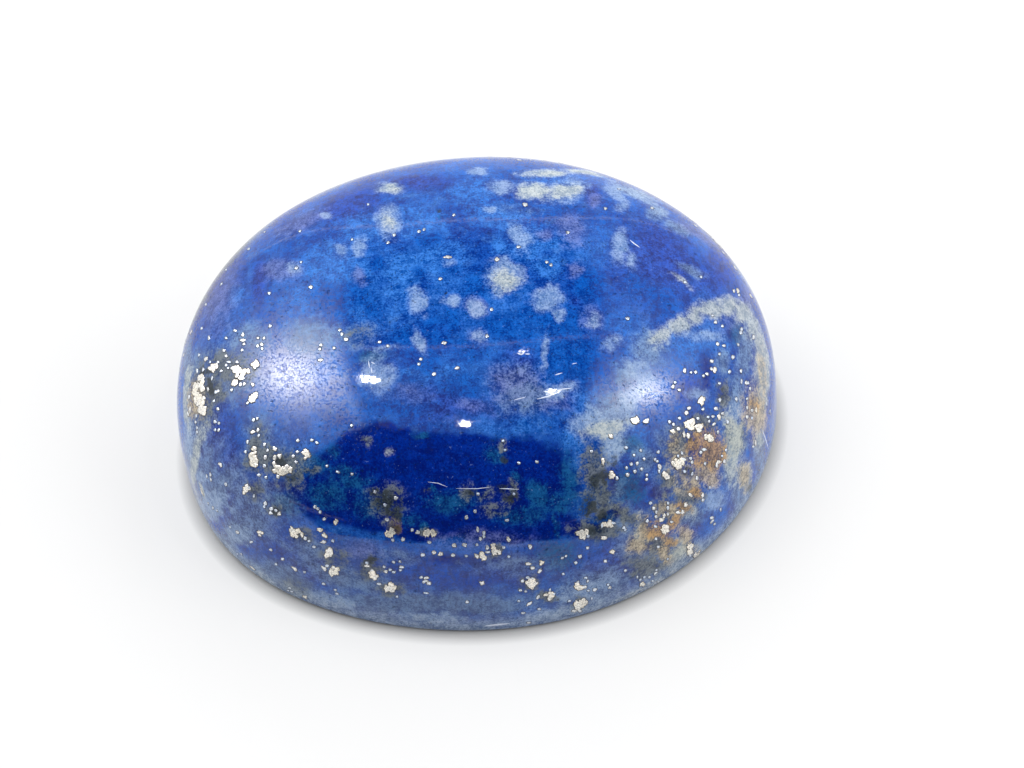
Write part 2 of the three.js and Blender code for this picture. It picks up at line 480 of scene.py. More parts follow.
# Grains of pyrite: x, y, width and height in pixels, and their turn in degrees.
GRAINS = (
    # the upper half
    (388, 242.5, 2.5, 2.5), (352, 239.5, 2, 2), (368, 204.5, 2, 2), (394, 235, 2.5, 2),
    (419, 231.5, 2.5, 2), (424, 229.5, 2, 2), (454, 215, 2, 2), (448, 257, 8, 2.5),
    (525, 204.5, 4.5, 3.5), (605.5, 208.5, 3, 3), (568, 232.5, 2.5, 2.5), (518.5, 247, 3, 2),
    (497, 259.5, 4, 4), (547, 262, 2.5, 2), (551, 265, 2, 2.5), (652, 208, 3, 2.5),
    (619, 189, 2.5, 2), (310.5, 287, 3.5, 3), (340, 330, 2.5, 2), (342, 334, 2, 2),
    (346.5, 339, 4, 3), (321, 345, 2.5, 2), (320, 349, 2, 2), (334, 348, 2.5, 2),
    (320.5, 360, 4, 3), (379.5, 342, 2, 2), (388, 346, 2, 2), (421, 359, 2.5, 2),
    (419, 364, 2, 2), (434, 374, 4, 2.5), (457, 368, 4, 2), (444, 343, 4, 3),
    (440.5, 279, 2.5, 2), (487, 336, 2.5, 2.5), (491.5, 309.5, 2.5, 2), (248.8, 249, 4, 3),
    (226, 270, 3, 2.5), (221.5, 284, 4, 2, 45), (206, 304.5, 3, 2.5), (201.5, 328.5, 2.5, 2.5),
    (296.5, 268, 3, 2.5), (269, 293, 2.5, 2), (270.2, 326, 3, 2.5), (301, 262, 2, 2),
    (300, 231, 2, 2), (264.5, 232, 2, 2), (734, 291, 3, 4), (738, 291, 4, 5), (739, 295, 3, 2.5),
    (701, 277, 2, 2), (685, 282, 3, 2),
    # the left side
    (235, 330.5, 3, 2), (243, 334.5, 3, 4), (243, 340, 6, 2.5), (244, 344, 2, 2), (258, 338, 2.5, 2),
    (264, 338, 2, 2), (261.5, 344.5, 3.5, 3.5), (257.5, 346, 2, 2.5), (262, 348.5, 2, 2),
    (208.7, 338, 2, 5), (226, 338, 2, 2), (224, 350.5, 3, 2.5), (242, 350, 2.5, 2),
    (226, 356, 3, 2.5), (199, 355, 2, 3), (206, 359, 4, 5, -20), (210, 362, 2, 2.5),
    (197, 371, 2, 5), (203, 369, 2, 5), (213, 369, 8, 8), (218, 362, 2, 2.5), (212, 378, 2, 6),
    (221, 371, 2.5, 2.5), (229, 362, 4, 2), (237, 362, 2.5, 2), (226, 365, 2, 2), (228, 368, 2, 2),
    (233, 368, 5, 3), (239, 372, 11, 12), (243, 378, 3, 3), (234.5, 384.5, 4, 7),
    (240.5, 384.5, 2.5, 3), (244, 384, 2.5, 3), (253, 384.7, 4, 3.5), (231.7, 390, 3, 3),
    (248, 371, 4.5, 5), (255.6, 365, 7, 4.5), (253.3, 397, 6, 9), (247.4, 403, 2, 2.5),
    (200.6, 380, 5, 8), (198, 390, 10, 12), (199, 400, 11, 12), (201, 410, 8, 9),
    (189, 397, 3, 5), (188, 414, 4, 4), (190, 410, 2, 8), (208, 389, 2, 6), (218, 391, 2.5, 2.5),
    (215.6, 392, 2, 3), (214, 401, 2.5, 2.5), (218, 409, 3, 3), (196, 416, 2.5, 3),
    (195.6, 422, 2, 3), (197, 428, 2, 3), (197, 432, 2, 2.5), (215, 422, 2.5, 2.5),
    (219, 423, 2, 2), (215, 430, 2.5, 2), (218.6, 430, 2, 2.5), (253.6, 420, 2.5, 3),
    (257.4, 418.7, 2, 2), (252.6, 432, 5, 3), (258, 430, 2.5, 4), (258.6, 435.6, 2, 2.5),
    (247.4, 442, 2, 3), (298, 440.6, 2.5, 2), (312, 440, 2.5, 2), (317, 443, 2.5, 2),
    (274, 448, 2.5, 2), (253.5, 453, 6, 9), (253.5, 462, 7, 10), (264.5, 444.5, 2.5, 2.5),
    (267.5, 450.5, 2.5, 2.5), (265.3, 457.5, 2.5, 4), (264.7, 466, 3, 3), (259, 475, 4, 2),
    (266, 477.5, 2.5, 2), (275, 449, 5, 4, 45), (274.5, 458, 3, 6), (279.5, 456, 4, 5),
    (274, 464, 3, 6), (277, 471, 7, 6), (285, 471, 9, 7), (291, 470, 3, 7), (278, 476.5, 3, 3),
    (293.5, 456.5, 3, 2.5), (297.5, 452, 2.5, 2), (296, 462, 3, 2), (305.5, 454.5, 5, 9),
    (305.5, 453, 8, 3), (245.5, 452, 2.5, 2.5), (220.5, 464.7, 3, 5, 45), (225.9, 484.4, 3, 3),
    (210.5, 474.5, 2, 4), (210.8, 479.5, 2, 4), (206.7, 476, 2, 3), (202, 492, 2.5, 9, 20),
    (245.5, 490.5, 6, 6), (249, 488, 2.5, 2.5), (254, 496, 2, 3), (265.5, 503.5, 3, 3),
    (264, 506.5, 2, 3), (271.5, 509, 4, 3), (276, 510.5, 3, 2), (271, 513, 4, 3), (279, 514, 4, 4),
    (213, 508, 3, 3), (217, 510.5, 2, 2), (208.3, 503.3, 2, 2), (237.4, 532.2, 4, 3),
    (259, 533.3, 6, 5), (251.4, 542, 4, 2.5, 45), (271, 549.8, 3, 2.5), (282.8, 559, 3, 2.5),
    (237.4, 554, 2, 2), (241.4, 554, 2, 2), (230, 527, 2, 2), (276, 564, 2.5, 2),
    (294.5, 568.7, 3, 7, 45), (304.8, 572, 2, 2), (252.8, 568.3, 7, 2.5, -40),
    # the lower front, from left to right
    (315, 506.7, 2.5, 2.5), (317.8, 509, 2, 2), (320.2, 512, 2, 2), (324.2, 519, 2.5, 2.5),
    (335.5, 522, 5, 5), (320, 529.8, 5, 4), (324.5, 535.5, 4, 6, 45), (323.7, 542, 6, 2.5),
    (328.3, 553, 8, 6), (295.5, 532.8, 8, 9), (301.9, 534.4, 3.5, 6), (305.3, 538.3, 3, 4),
    (309, 541, 2.5, 2), (314, 547, 3, 2), (332.8, 541, 2, 2), (327.2, 565.8, 3, 2.5),
    (323.9, 568.3, 3, 6, 45), (333.9, 569.8, 7, 7), (323.7, 583.9, 3, 2), (335.3, 589.8, 2, 2),
    (336.9, 593.7, 2.5, 2), (367, 563, 2.5, 2), (367.2, 566, 6, 3), (372, 570.2, 4, 3),
    (373, 574.5, 10, 5), (387, 519.5, 3, 2.5), (390, 532.8, 8, 6), (392.8, 540.3, 2, 2),
    (393.6, 562, 2.5, 2), (400, 561.5, 2.5, 2), (385.8, 571.7, 3.5, 3), (390.2, 569.8, 3, 1.5),
    (394, 572, 3, 2), (384.2, 566.7, 1.5, 3), (390, 586.7, 10, 4), (392, 590.5, 6, 3),
    (379.4, 583.9, 4, 2), (397, 596.7, 2, 2), (290, 588, 3, 2), (288, 590.5, 2, 2),
    (292, 591.5, 3, 2), (305, 597, 5, 4), (402.8, 539.4, 3, 3), (412.2, 530, 2, 2),
    (417.8, 532.4, 4, 2.5), (430, 532, 13, 4), (429.4, 542.4, 2.5, 1.5), (454, 545.3, 2.5, 4, 45),
    (464.7, 545.2, 4, 3), (476.9, 544.8, 2, 2), (434.4, 552.6, 4, 3), (440.3, 553.7, 4.5, 4),
    (422.8, 555, 3, 3), (453, 555.3, 3.5, 3), (466.3, 556, 2, 1.5), (476.9, 556, 4, 5, 45),
    (482.6, 554.7, 5, 6), (487.4, 547.8, 3, 4), (487.8, 552.2, 4, 2), (493.9, 549, 6, 8),
    (499.2, 552, 4.5, 5), (503.6, 547.6, 2, 2), (508.9, 556.7, 2, 2), (480.6, 538.9, 2.5, 3),
    (483.9, 536.7, 2, 2), (477.8, 529, 2, 5), (483.9, 533, 2, 3), (466.4, 517.2, 2, 3),
    (475, 511.3, 2, 2), (508.3, 539.4, 4, 4), (507, 520.2, 2.5, 2), (530, 546.4, 3, 5),
    (528.3, 564, 6, 2.5), (532.5, 568, 4, 4), (541.9, 562.8, 5, 5), (539.8, 571, 5, 2.5, 45),
    (527.8, 577.4, 3, 2), (532.4, 578.7, 4, 2), (531, 583.3, 10, 8), (522.5, 580.9, 2.5, 2.5),
    (520.3, 590.2, 3, 2), (525.8, 591.3, 2, 2), (538, 597, 5, 2.5, 45), (547.8, 595.6, 9, 7),
    (550, 590, 2, 3), (553.9, 594, 2, 2), (529.4, 603.6, 2.5, 6, -45), (518.7, 601, 2, 2),
    (523.3, 613, 4, 2), (538.9, 609, 3, 1.5), (528.9, 622.8, 4, 2), (482, 583, 4.5, 4),
    (421, 577.4, 2.5, 3), (426.3, 578, 5, 2.5), (428.9, 583.3, 4, 3), (426, 581, 4, 2),
    (423.9, 582, 2, 2), (426, 593, 5, 1.5), (467.2, 601.7, 3, 2.5), (401.7, 567, 4, 2.5),
    (400.5, 570, 2, 2), (582.6, 533.6, 9, 6), (587.8, 536.4, 2, 2), (608, 523.9, 8, 6),
    (613.5, 523, 4, 2), (601.7, 525.6, 2, 4), (603.6, 537.8, 7, 3), (587.2, 547.8, 2.5, 2.5),
    (612.2, 552, 5, 4.5), (605.3, 561, 3, 3), (562.2, 558, 2.5, 2), (565.8, 556, 1.5, 1.5),
    (579.8, 556.3, 3, 3), (576, 562.8, 3.5, 2.5), (623.6, 527.4, 2.5, 3), (625, 529.8, 2, 2),
    (585.6, 577.8, 3, 2), (587.8, 581, 2, 2), (577.8, 582, 2.5, 2), (577.8, 586.7, 8, 4),
    (584.4, 587.2, 5, 3), (594.7, 589.7, 4, 3), (588.3, 590.5, 2, 2), (609.8, 587.5, 2.5, 3),
    (608, 584.7, 2, 2), (569.4, 601, 2.5, 2), (581, 603.3, 12, 9), (574.4, 611, 6, 2.5),
    (579.8, 611, 3, 3), (591.7, 598.3, 1.5, 3), (643.9, 583.9, 8, 4), (655.5, 573.3, 5, 2, 45),
    (656.4, 570, 1.5, 1.5), (649.4, 577.4, 2.5, 2), (644.2, 577, 2, 2), (637.2, 576.7, 1.5, 3),
    (640.5, 580, 2, 2), (653, 581, 3, 2), (658.3, 582, 3, 2.5), (625.5, 570.5, 2.5, 2),
    (667.8, 558.9, 2, 2), (658, 547, 3, 2), (690.5, 549, 5, 8), (697.2, 553.3, 7, 6, 45),
    (690.2, 555.5, 2.5, 3), (563, 574, 2, 2),
    # in the dark part of the front
    (603, 461.5, 3, 8), (612, 474, 5, 6), (617, 478, 2.5, 3), (591.5, 451.5, 2, 2), (611, 436, 5, 4),
    (396, 498, 3, 3), (375, 492, 2, 2), (385, 505, 2, 2), (503, 441, 1.5, 1.2), (505, 450, 1.2, 1.2),
    (519, 463, 1.3, 1.2), (537, 462, 1.4, 1.2), (478, 494, 1.6, 1.6), (351.5, 425.5, 2, 2),
    (338, 472, 2.5, 1.6), (352, 474, 1.5, 1.2), (327, 466, 1.4, 1.6), (514, 494, 1.4, 1.6),
    # the right side
    (627.5, 318.5, 3, 2.5), (712.5, 315.5, 2.5, 2), (715.5, 322, 3, 3), (722.5, 326, 2, 2.5),
    (741.5, 329, 3, 3), (741, 332.5, 3.5, 3), (753.5, 337, 3, 4), (717.5, 344, 3, 3),
    (724, 345.5, 3, 2.5), (738, 344.5, 2.5, 2.5), (719.5, 354, 2, 2.5), (733, 357.5, 3, 4),
    (712, 361, 3.5, 3), (684.8, 370.5, 3, 4), (695.5, 372, 3, 2.5), (691, 372.5, 2, 2),
    (711.5, 369, 2, 2.5), (714.5, 370, 4, 6), (707, 374, 2.5, 2.5), (703.5, 376, 2, 2),
    (729.5, 372, 2.5, 3), (741, 371, 2, 4), (741.5, 381.5, 2, 5), (746, 383, 3, 4),
    (748, 383, 2, 2.5), (750, 389, 2.5, 4), (719.5, 383.5, 2.5, 2.5), (720, 400, 2.5, 4),
    (736.5, 399.5, 2.5, 4), (747, 398.5, 2.5, 2.5), (679.5, 390, 2.5, 2.5), (673, 386.5, 3, 4),
    (675, 382.5, 2, 2), (701.5, 400.5, 5, 6), (689, 408, 3, 3), (686.5, 413, 3, 4),
    (703, 409, 2.5, 2.5), (716, 408.5, 4, 3), (722.5, 413.5, 3, 3), (747, 407.5, 2.5, 4),
    (752, 410.5, 4, 3), (756, 410, 4, 6), (747, 417, 3, 4), (752, 418, 2, 2.5),
    (766.5, 404, 2, 5), (770, 411, 2, 5), (679.5, 418, 3.5, 3), (698, 418.5, 2.5, 2.5),
    (708, 417, 2.5, 2), (713, 416.5, 2.5, 2), (719, 417, 3, 7), (632, 420, 4, 3), (647, 420, 4, 3),
    (634, 421, 4, 7, -45), (646, 421.5, 6, 3), (669.5, 422, 2.5, 2.5), (673.5, 424.5, 2.5, 2.5),
    (678.5, 429, 3.5, 3), (673, 431.5, 8, 3), (673, 431.5, 3, 6), (693, 425, 14, 8),
    (688, 423, 4, 9), (699, 428, 5, 6), (684, 435, 2.5, 9), (688, 436, 3, 6), (706, 437, 3, 7),
    (711, 439, 4, 7), (709, 421.5, 2, 2.5), (714, 424, 2, 5, -45), (718, 432, 2, 3),
    (727.5, 422, 2.5, 4), (658.3, 451.8, 2.5, 2.5), (626, 447.5, 2.5, 2.5), (640.5, 450.5, 2, 2),
    (644, 459, 2, 2), (655, 459.5, 2, 2.5), (657, 461.5, 2, 2), (631, 464, 2.5, 2.5),
    (637, 463.5, 2, 3), (626.5, 468, 2.5, 2), (635, 471.5, 2.5, 2.5), (627.5, 475, 3, 3),
    (641.5, 469, 2, 2), (647, 475, 2, 2.5), (646.5, 479.5, 2.5, 2), (659.5, 467, 3.5, 5),
    (659, 471.5, 2, 2.5), (666.5, 475, 5, 6, 45), (678, 456, 2, 2), (682, 453, 2.5, 3),
    (678, 463, 10, 9), (684, 459.5, 5, 3), (690.5, 458.5, 2.5, 2.5), (692, 462, 3, 3),
    (684.5, 471.5, 2.5, 2.5), (692, 474, 2, 4), (697, 478, 3, 4), (700.5, 452.5, 3, 3),
    (704, 449.5, 5, 2.5), (726, 450, 2.5, 2.5), (722, 456, 2.5, 2), (719, 462, 6, 3),
    (717, 465, 2.5, 6), (724.5, 461.5, 3, 4), (705, 464, 2, 3), (709.5, 487.5, 2.5, 2.5),
    (690.5, 495, 3, 6, 45), (702.5, 495, 3, 7), (703, 500, 3, 3), (668, 503, 2.5, 2.5),
    (650.5, 503, 2.5, 2.5), (654, 508, 4, 3), (668, 508, 3, 4), (685.5, 505, 5, 4, 45),
    (678, 512.5, 5, 3), (682.5, 512, 5, 4, 45), (656, 516.5, 3, 2.5), (656, 512, 2, 4),
    (661.5, 520, 6, 4), (664, 516, 3, 6), (668, 514, 2, 4), (671.5, 522, 3, 2), (647, 521, 3, 2.5),
    (655.5, 526.5, 4, 3), (665, 529.5, 7, 6), (655.5, 539, 3, 2.5), (711.5, 518, 5, 3),
    (712, 521.5, 5, 2, 45), (714.5, 524, 3, 2.5), (720.5, 509.5, 1.5, 3), (728.5, 526, 2, 4),
    (755.5, 443, 2.5, 7), (753, 446.5, 4, 2), (634, 455, 2, 2),
)

# How far the patches' outlines wander: the size of a bend and its reach.
BENDS = ((1.5 * MM, 0.22 * MM), (0.45 * MM, 0.15 * MM))
# Markings on the sides that the view doesn't show: how many, and their least and
# greatest size in millimetres.
FAR_MARKINGS = {
    "violet": (12, 1.5, 5),
    "azure": (16, 1, 4),
    "royal": (16, 1.5, 5),
    "deep_blue_and_painted_front_shade": (10, 1.5, 6),
    "teal": (8, 0.8, 2.5),
    "slate": (12, 1, 3.5),
    "mauve": (6, 1, 3),
    "calcite": (26, 0.4, 2.4),
    "chalk": (5, 0.5, 2.2),
    "olive": (14, 0.8, 3.2),
    "shade": (8, 0.4, 1),
    "tan": (3, 1, 2.4),
    "rust": (2, 0.9, 1.8),
}
# Where they may lie: shares of the way out from the axis and of the dome's height, and
# how nearly level the stone may be there.
FAR_ACROSS = (0.75, 1)
FAR_UP = (-0.2, 0.8)
FAR_LEVEL = 0.9
# How deep a patch reaches into the stone, as a share of the greater half of its size.
PATCH_DEPTH = 1.5


def hidden_spot(sight, chance):
    """A place and normal on the stone that the view doesn't show."""
    while True:
        angle, across = chance.uniform(0, 2 * math.pi), chance.uniform(*FAR_ACROSS)
        height = GIRDLE_HEIGHT + (HEIGHT - GIRDLE_HEIGHT) * chance.uniform(*FAR_UP)
        start = to_outline(across * math.cos(angle), across * math.sin(angle), height)
        place, normal, _, _ = sight.tree.find_nearest(start)
        if normal.dot(place - sight.eye) > 0 and abs(normal.z) < FAR_LEVEL:
            return place, normal


def flat_axes(normal):
    """Two directions in the surface: level, and up the slope."""
    level = Vector((0, 0, 1)).cross(normal).normalized()
    return level, normal.cross(level)


def field_values(points, spots):
    """How strong a marking is at each point: 1 in the middle of a patch and 0.5 at its edge."""
    values = np.zeros(len(points))
    for place, normal, across, up, strength in spots:
        depth = normal * max(across.length, up.length) * PATCH_DEPTH
        to_patch = np.linalg.inv(np.column_stack((across, up, depth)))
        reached = (points - np.array(place)) @ to_patch.T
        near = strength * np.exp2(-(reached**2).sum(axis=1))
        np.maximum(values, near, out=values)
    return values


def mark_stone(stone, sight):
    """Writes every marking on the stone's points."""
    corners = stone.data.vertices
    points = np.array([corner.co for corner in corners])
    chance = random.Random(SEED)
    noise.seed_set(SEED)
    for size, reach in BENDS:
        bent = [noise.noise_vector(corner.co / size) for corner in corners]
        points = points + np.array(bent) * reach
    for name, patches in MARKINGS.items():
        spots = []
        for x, y, width, height, *rest in patches:
            turn, strength = (*rest, *(0, 1)[len(rest):])
            place, normal, across, up = sight.axes(x, y, turn, MOST_STRETCH)
            spots.append((place, normal, across * width / 2, up * height / 2, strength))
        count, least, most = FAR_MARKINGS[name]
        for _ in range(count):
            place, normal = hidden_spot(sight, chance)
            level, up = flat_axes(normal)
            size = chance.uniform(least, most) / 2 * MM
            spots.append((place, normal, level * size, up * size * chance.uniform(0.5, 1), 1))
        layer = stone.data.attributes.new(name, "FLOAT", "POINT")
        layer.data.foreach_set("value", field_values(points, spots))


GRAIN_RISE = 0.006 * MM
GRAIN_DEPTH = 0.03 * MM
GRAIN_RIM = 0.06 * MM  # how wide the dark seam around a grain is
# A grain's rings, from the lowest up: how wide each is as a share of the grain, how far
# the seam widens it, how far it stands out, and 1 if it is part of the seam.
GRAIN_RINGS = (
    (0.9, 0, -GRAIN_DEPTH, 1), (1, GRAIN_RIM, 0.3 * GRAIN_RISE, 1), (0.9, 0, GRAIN_RISE, 0),
)
GRAIN_CORNERS = 13
SPECK = 0.16 * MM  # a grain whose half width and half height add up to less is a speck
SPECK_CORNERS = 8
CORNER_RADII = (0.5, 0.8, 0.95, 1.1)
RADIUS_RANGE = (0.9, 1.15)  # by how much each of those varies
CORNER_DRIFT = 0.4  # how far a corner may stray, as a share of the gap to the next
GRAIN_STRETCH = 1.7  # for grains, in the place of MOST_STRETCH
GRAIN_SHARE = 0.8  # how large a grain is, as a share of its bright spot in the table
BIG_GRAIN = 26  # square pixels, from which a grain breaks up into a lacy group
SHARD_SHARE = 7  # square pixels for each shard of such a group
SHARD_SIZES = (1.8, 5.2)  # pixels
TALLNESS = (0.6, 1.6)  # how tall a shard is for its width
# How brassy a grain is, from 0 to 1, and by how much that varies.
SHARD_WARMTH = 0.9
FAR_WARMTH = 0.7
WARMTH_RANGE = 0.15
# Groups of grains on the sides that the view doesn't show: how many, how many grains each
# has, how far they spread along and up the stone, and how large they are.
FAR_GROUPS = 22
FAR_GRAINS = (3, 22)
FAR_SPREAD = (1 * MM, 0.7 * MM)
FAR_SIZES = (0.03 * MM, 0.11 * MM)


def grain_outline(chance, corners):
    """Radii and angles of a small jagged outline."""
    for number in range(corners):
        angle = (number + CORNER_DRIFT * chance.uniform(-1, 1)) * 2 * math.pi / corners
        yield chance.choice(CORNER_RADII) * chance.uniform(*RADIUS_RANGE), angle


def add_grain(shape, layers, tree, middle, across, up, warmth, chance):
    """One closed plate of pyrite, bedded in the stone and a hair proud of it."""
    edge, tone = layers
    count = SPECK_CORNERS if across.length + up.length < SPECK else GRAIN_CORNERS
    ways = [
        (across * math.cos(angle) + up * math.sin(angle)) * radius
        for radius, angle in grain_outline(chance, count)
    ]
    shade = warmth + chance.uniform(-WARMTH_RANGE, WARMTH_RANGE)

    def corner(way, lift, rim):
        place, normal, _, _ = tree.find_nearest(middle + way)
        vertex = shape.verts.new(place + normal * lift)
        vertex[edge], vertex[tone] = rim, shade
        return vertex

    rings = [
        [corner(way * share + way.normalized() * seam, lift, rim) for way in ways]
        for share, seam, lift, rim in GRAIN_RINGS
    ]
    nowhere = Vector((0, 0, 0))
    top, bottom = corner(nowhere, GRAIN_RISE, 0), corner(nowhere, -GRAIN_DEPTH, 1)
    for here in range(count):
        after = (here + 1) % count
        for low, high in zip(rings, rings[1:]):
            shape.faces.new((low[here], low[after], high[after], high[here]))
        shape.faces.new((rings[-1][here], rings[-1][after], top))
        shape.faces.new((rings[0][after], rings[0][here], bottom))


def grow_grains(sight):
    """The grains of the table, and groups of grains on the far side."""
    shape = bmesh.new()
    layers = [shape.verts.layers.float.new(name) for name in ("edge", "tone")]
    chance = random.Random(SEED)

    def grow(middle, across, up, warmth):
        add_grain(shape, layers, sight.tree, middle, across, up, warmth, chance)

    for x, y, width, height, *turn in GRAINS:
        middle, _, across, up = sight.axes(x, y, turn[0] if turn else 0, GRAIN_STRETCH)
        across, up = across * width / 2, up * height / 2
        if width * height < BIG_GRAIN:
            grow(middle, across * GRAIN_SHARE, up * GRAIN_SHARE, width * height / BIG_GRAIN)
            continue
        for _ in range(int(width * height / SHARD_SHARE)):
            angle, reach = chance.uniform(0, 2 * math.pi), math.sqrt(chance.random())
            place = middle + (across * math.cos(angle) + up * math.sin(angle)) * reach
            size = chance.uniform(*SHARD_SIZES)
            tall = up * size / height * chance.uniform(*TALLNESS)
            grow(place, across * size / width, tall, SHARD_WARMTH)
    for _ in range(FAR_GROUPS):
        middle, normal = hidden_spot(sight, chance)
        level, up = flat_axes(normal)
        for _ in range(chance.randint(*FAR_GRAINS)):
            aside, above = (chance.gauss(0, spread) for spread in FAR_SPREAD)
            size = chance.uniform(*FAR_SIZES)
            tall = up * size * chance.uniform(*TALLNESS)
            grow(middle + level * aside + up * above, level * size, tall, FAR_WARMTH)
    bmesh.ops.recalc_face_normals(shape, faces=shape.faces)
    return shape


# Scratches in the polish: how wide each one is and the points it runs through, in pixels.
SCRATCHES = (
    (0.6, (428, 482), (438, 483.2), (447.5, 487)),
    (0.6, (456, 488.5), (477, 488.7), (491, 487)),
    (0.7, (499.5, 488.5), (508, 488.8), (519, 489.5)),
    (0.9, (505, 488.6), (508, 488.8), (511, 489)),
    (1.2, (630, 240), (634, 243.5), (640, 247.5)),
    (1.5, (762.5, 430), (765.5, 439), (768.5, 449)),
    (1.8, (484.7, 626), (497, 624.8), (509.4, 623.6)),
    (1.0, (368.5, 361), (369.5, 368)),
    (0.9, (371, 362), (375, 364)),
    (0.9, (371, 367), (372, 373)),
    (1.5, (517, 353), (521, 354.5), (524, 353.5)),
    (1.2, (525, 354), (530, 354)),
    (1.5, (537, 399), (548, 396.5), (558, 392.5)),
    (1.8, (546, 395), (555, 392), (562, 390)),
    (1.0, (556, 390), (572, 388)),
    (1.1, (555, 375), (562, 373)),
    (0.8, (572, 364), (577, 363)),
    (1.0, (640, 394), (655, 391), (671, 392)),
    (1.0, (645, 399), (660, 393)),
    (0.7, (514, 400), (526, 397)),
)
SCRATCH_PARTS = 8  # how many straight parts a scratch has
SCRATCH_END = 0.25  # how wide its ends are, as a share of its middle
SCRATCH_RISE = 0.003 * MM  # the burr that it left stands this far out
SCRATCH_BLUE = (0.62, 0.68, 0.84)


def scratch_stone(sight):
    """Each scratch is a thin closed strip that narrows towards its ends."""
    shape = bmesh.new()
    for width, *points in SCRATCHES:
        rings = []
        for part in range(SCRATCH_PARTS + 1):
            along = part / SCRATCH_PARTS * (len(points) - 1)
            first = min(int(along), len(points) - 2)
            share = along - first
            (x, y), (next_x, next_y) = points[first], points[first + 1]
            turn = -math.degrees(math.atan2(next_y - y, next_x - x))
            x, y = x + (next_x - x) * share, y + (next_y - y) * share
            place, normal, _, across = sight.axes(x, y, turn, MOST_STRETCH)
            fullness = math.sin(math.pi * part / SCRATCH_PARTS)
            across *= width / 2 * (SCRATCH_END + fullness * (1 - SCRATCH_END))
            corners = (across, normal * SCRATCH_RISE, -across, -normal * GRAIN_DEPTH)
            rings.append([shape.verts.new(place + corner) for corner in corners])
        for here, after in zip(rings, rings[1:]):
            for side in range(4):
                other = (side + 1) % 4
                shape.faces.new((here[side], here[other], after[other], after[side]))
        shape.faces.new(rings[0])
        shape.faces.new(rings[-1])
    bmesh.ops.recalc_face_normals(shape, faces=shape.faces)
    return shape


def scratch_material():
    material, maker = new_material("scratched_lapis")
    scratched = {"Base Color": (*SCRATCH_BLUE, 1), "Roughness": 0.35}
    maker.finish(maker.node("ShaderNodeBsdfPrincipled", scratched))
    return material


# The metal and the dark seams around it, each from the coldest grain to the brassiest.
PYRITE = ((0.66, 0.78, 0.96), (0.98, 0.92, 0.81))
PYRITE_SEAM = ((0.004, 0.014, 0.07), (0.03, 0.022, 0.016))
PYRITE_METAL = 0.78  # the rest of it is tarnished


def pyrite_material():
    """Metal with a pitted face, fine cracks and a ragged dark seam."""
    material, maker = new_material("pyrite")
    edge, tone = maker.field("edge"), maker.field("tone")
    place = maker.object_place()
    fine = maker.noise(place, 0.05 * MM, detail=2)
    veins = maker.noise(place, 0.13 * MM, detail=4, roughness=0.6)
    crack = abs(veins - 0.5).within(0.035, 0.008)
    metal = maker.mix(tone + (fine - 0.5) * 0.3, *PYRITE)
    rim = (edge + (fine - 0.5) * 0.5).within(0.34, 0.66).most(crack * 0.7)
    grain = {
        "Base Color": maker.mix(rim, metal, maker.mix(tone, *PYRITE_SEAM)),
        "Metallic": (1 - rim) * PYRITE_METAL,
        "Roughness": 0.26 + fine * 0.2,
    }
    maker.finish(maker.node("ShaderNodeBsdfPrincipled", grain))
    return material


# The colours of the markings, from the lowest layer up: how much each one covers, how
# ragged its edge is, how fine that is from 0 to 1, how soft the edge is, and its dark and
# its light freckles.
LAYERS = (
    ("violet", 0.85, 2, 0.3, 0.39, (0.0, 0.005, 0.12), (0.03, 0.082, 0.44)),
    ("azure", 0.8, 2.4, 0.4, 0.36, (0.0, 0.054, 0.3), (0.045, 0.2, 0.62)),
    ("royal", 0.85, 2, 0.4, 0.36, (0.0, 0.024, 0.2), (0.003, 0.092, 0.44)),
    # Deep blue, and painted shade over the front where the dark open front is reflected.
    ("deep_blue_and_painted_front_shade", 0.98, 1.2, 0.3, 0.18, (0.0, 0.006, 0.12), (0.0, 0.019, 0.24)),
    ("teal", 0.7, 3, 0.6, 0.36, (0.001, 0.026, 0.11), (0.01, 0.11, 0.25)),
    ("slate", 0.62, 2.2, 0.5, 0.36, (0.03, 0.07, 0.17), (0.23, 0.33, 0.45)),
    ("mauve", 0.6, 2.2, 0.5, 0.36, (0.02, 0.045, 0.2), (0.19, 0.22, 0.46)),
    ("calcite", 0.68, 2.2, 0.4, 0.32, (0.11, 0.22, 0.45), (0.34, 0.44, 0.6)),
    ("olive", 0.88, 4, 0.85, 0.36, (0.012, 0.024, 0.036), (0.16, 0.18, 0.19)),
    ("chalk", 0.78, 2.2, 0.5, 0.32, (0.22, 0.28, 0.32), (0.51, 0.54, 0.5)),
    ("tan", 0.84, 3, 0.6, 0.36, (0.11, 0.085, 0.055), (0.54, 0.455, 0.33)),
    ("rust", 0.88, 3.4, 0.7, 0.36, (0.06, 0.034, 0.016), (0.5, 0.31, 0.14)),
    ("shade", 0.85, 5, 1, 0.36, (0.003, 0.006, 0.01), (0.025, 0.034, 0.04)),
)
MOST_RAGGED = 0.4  # how strong a marking must be for its edge to be at its most ragged
# The stone's own colours, each with its dark and its light freckles: two blues and a pale
# haze under the markings, and the worn foot over them.
BRIGHT_BLUE = ((0.002, 0.055, 0.3), (0.03, 0.15, 0.54))
INKY_BLUE = ((0.0, 0.022, 0.2), (0.01, 0.08, 0.4))
HAZE = ((0.02, 0.1, 0.34), (0.1, 0.25, 0.54))
FOOT = ((0.07, 0.13, 0.26), (0.37, 0.45, 0.56))
FOOT_TOP, FOOT_BOTTOM = 1.5 * MM, 0.5 * MM  # the foot fades in between these heights
# The painted shade in the pits' hollows.
PIT_PAINTED_SHADE = (0.002, 0.012, 0.05)
SPARK_COLOUR = (0.3, 0.45, 0.7)
STROKE_SHARE = 0.12  # how fast the brushed noise changes along its strokes
REFRACTION = 1.5  # the refractive index of lapis lazuli
WAVE_HEIGHT = 0.0015 * MM  # how deep the ripples are that the polishing left
PIT_SHARE = 1.6  # how deep the pits are, as a share of that
MATT_ROUGHNESS = 0.6  # of the freckles that took no polish


